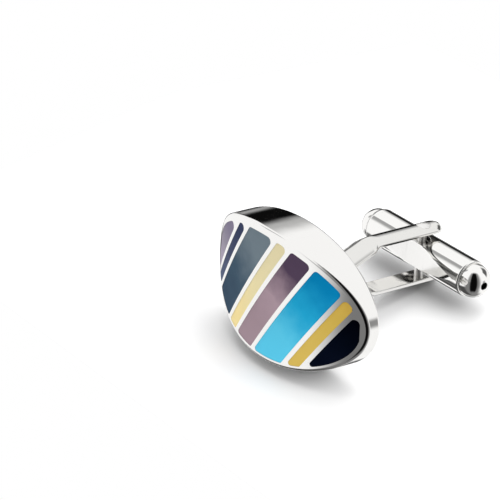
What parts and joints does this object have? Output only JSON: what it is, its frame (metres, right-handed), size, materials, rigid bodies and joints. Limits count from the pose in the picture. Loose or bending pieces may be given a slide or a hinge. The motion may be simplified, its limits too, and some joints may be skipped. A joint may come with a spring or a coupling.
{
  "type": "cufflink",
  "caption": "Swivel-toggle cufflink: a crowned oval face with diagonal enamel stripes, a bent fork, and a sprung bullet toggle that turns to pass the buttonholes.",
  "frame": {"origin": "centre of the flat back of the face, where the post stands", "axes": "+X along the closed toggle and the long axis of the face, +Y from the face to the toggle, +Z along the pivot pin, up as pictured"},
  "size_m": [0.0238, 0.0221, 0.0138],
  "materials": {
    "polished_metal": "mirror-polished rhodium-coloured plate",
    "plate_metal": "polished, finer lines from the lathe and the press",
    "fork_metal": "polished strip, tumbled edges",
    "pin_metal": "drawn wire, peened heads",
    "toggle_metal": "polished turned bar",
    "spring_steel": "rolled spring strip",
    "enamel_lilac": "fired vitreous enamel, ground and flame-polished",
    "enamel_indigo": "fired vitreous enamel, ground and flame-polished",
    "enamel_slate": "fired vitreous enamel, ground and flame-polished",
    "enamel_cream": "fired vitreous enamel, ground and flame-polished",
    "enamel_mauve": "fired vitreous enamel, ground and flame-polished",
    "enamel_turquoise": "fired vitreous enamel, ground and flame-polished",
    "enamel_ochre": "fired vitreous enamel, ground and flame-polished",
    "enamel_navy": "fired vitreous enamel, ground and flame-polished"
  },
  "bodies": {
    "face": {"face_shell": "polished_metal", "back_plate": "plate_metal", "foot_pad": "plate_metal", "fork": "fork_metal", "pivot_pin": "pin_metal", "enamel_lilac": "enamel_lilac", "enamel_indigo": "enamel_indigo", "enamel_slate": "enamel_slate", "enamel_cream": "enamel_cream", "enamel_mauve": "enamel_mauve", "enamel_turquoise": "enamel_turquoise", "enamel_ochre": "enamel_ochre", "enamel_navy": "enamel_navy"},
    "toggle": {"toggle_barrel": "toggle_metal", "near_cap": "toggle_metal", "far_cap": "toggle_metal", "leaf_spring": "spring_steel"}
  },
  "joints": [
    {"name": "toggle_swing", "type": "hinge", "parent": "face", "child": "toggle", "pos_m": [0, 0.01485, 0], "axis": [0, 0, 1], "range_deg": [-90, 90]}
  ]
}
